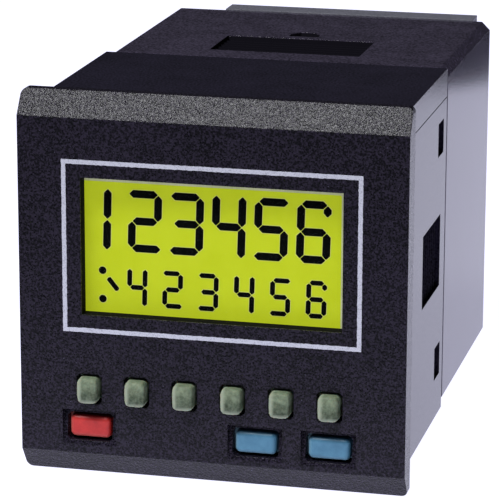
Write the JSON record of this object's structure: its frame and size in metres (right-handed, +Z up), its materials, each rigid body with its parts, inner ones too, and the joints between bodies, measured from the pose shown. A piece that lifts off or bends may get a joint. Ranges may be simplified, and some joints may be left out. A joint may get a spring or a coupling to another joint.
{
  "type": "panel-mounted digital timer",
  "caption": "Square panel-mounted preset timer with a two-row yellow-green display, a row of small keys, wide keys below, and screw terminals behind.",
  "frame": {"origin": "centre of the seat, where the back of the front frame meets the panel", "axes": "+X to the right seen from the front, +Y backwards through the panel, +Z up"},
  "size_m": [0.048, 0.0726, 0.048],
  "materials": {
    "housing_plastic": "fine-grained black moulding, glossier on the sides",
    "gasket_rubber": "matt black rubber",
    "decade_key_rubber": "soft grey-green silicone",
    "reset_key_plastic": "satin red",
    "function_key_plastic": "satin blue",
    "keymat_silicone": "translucent grey silicone",
    "clear_pane": "clear polished pane",
    "display_glass": "yellow-green backlit display cell",
    "guide_acrylic": "clear frosted acrylic",
    "white_film": "white reflecting film",
    "lamp_resin": "clear yellow resin",
    "holder_plastic": "black moulding",
    "contact_rubber": "layered conductive rubber",
    "terminal_plastic": "light grey moulding",
    "clamp_brass": "plated brass",
    "screw_steel": "zinc-plated steel",
    "board_laminate": "green solder mask",
    "chip_resin": "black epoxy",
    "header_plastic": "black moulding",
    "relay_case": "blue moulding",
    "core_steel": "varnished steel laminations",
    "coil_copper": "yellow tape over copper winding",
    "capacitor_can": "sleeved aluminium can",
    "absorber_coating": "blue epoxy coating"
  },
  "bodies": {
    "housing": {"backlight_lamps": "lamp_resin", "board_headers": "header_plastic", "contact_strip_lower": "contact_rubber", "contact_strip_upper": "contact_rubber", "display_board": "board_laminate", "display_front_glass": "display_glass", "display_holder": "holder_plastic", "display_rear_glass": "display_glass", "filter_capacitor": "capacitor_can", "front_body": "housing_plastic", "front_frame": "housing_plastic", "keymat": "keymat_silicone", "light_guide": "guide_acrylic", "logic_board": "board_laminate", "memory_chip": "chip_resin", "output_relay_1": "relay_case", "output_relay_2": "relay_case", "panel_gasket": "gasket_rubber", "power_board": "board_laminate", "processor_chip": "chip_resin", "rear_housing": "housing_plastic", "reflector_film": "white_film", "surge_absorber": "absorber_coating", "terminal_block_lower": "terminal_plastic", "terminal_block_upper": "terminal_plastic", "terminal_board": "board_laminate", "terminal_clamps_lower": "clamp_brass", "terminal_clamps_upper": "clamp_brass", "terminal_screws_lower": "screw_steel", "terminal_screws_upper": "screw_steel", "top_cover": "housing_plastic", "transformer_coil": "coil_copper", "transformer_core": "core_steel", "window_pane": "clear_pane"},
    "decade_key_1": {"decade_key_1": "decade_key_rubber"},
    "decade_key_2": {"decade_key_2": "decade_key_rubber"},
    "decade_key_3": {"decade_key_3": "decade_key_rubber"},
    "decade_key_4": {"decade_key_4": "decade_key_rubber"},
    "decade_key_5": {"decade_key_5": "decade_key_rubber"},
    "decade_key_6": {"decade_key_6": "decade_key_rubber"},
    "reset_key": {"reset_key": "reset_key_plastic"},
    "function_key_left": {"function_key_left": "function_key_plastic"},
    "function_key_right": {"function_key_right": "function_key_plastic"}
  },
  "joints": [
    {"name": "decade_key_1_press", "type": "slide", "parent": "housing", "child": "decade_key_1", "axis": [0, 1, 0], "range_m": [0, 0.0008], "stiffness_N_per_m": 1200},
    {"name": "decade_key_2_press", "type": "slide", "parent": "housing", "child": "decade_key_2", "axis": [0, 1, 0], "range_m": [0, 0.0008], "stiffness_N_per_m": 1200},
    {"name": "decade_key_3_press", "type": "slide", "parent": "housing", "child": "decade_key_3", "axis": [0, 1, 0], "range_m": [0, 0.0008], "stiffness_N_per_m": 1200},
    {"name": "decade_key_4_press", "type": "slide", "parent": "housing", "child": "decade_key_4", "axis": [0, 1, 0], "range_m": [0, 0.0008], "stiffness_N_per_m": 1200},
    {"name": "decade_key_5_press", "type": "slide", "parent": "housing", "child": "decade_key_5", "axis": [0, 1, 0], "range_m": [0, 0.0008], "stiffness_N_per_m": 1200},
    {"name": "decade_key_6_press", "type": "slide", "parent": "housing", "child": "decade_key_6", "axis": [0, 1, 0], "range_m": [0, 0.0008], "stiffness_N_per_m": 1200},
    {"name": "reset_key_press", "type": "slide", "parent": "housing", "child": "reset_key", "axis": [0, 1, 0], "range_m": [0, 0.0008], "stiffness_N_per_m": 1200},
    {"name": "function_key_left_press", "type": "slide", "parent": "housing", "child": "function_key_left", "axis": [0, 1, 0], "range_m": [0, 0.0008], "stiffness_N_per_m": 1200},
    {"name": "function_key_right_press", "type": "slide", "parent": "housing", "child": "function_key_right", "axis": [0, 1, 0], "range_m": [0, 0.0008], "stiffness_N_per_m": 1200}
  ]
}
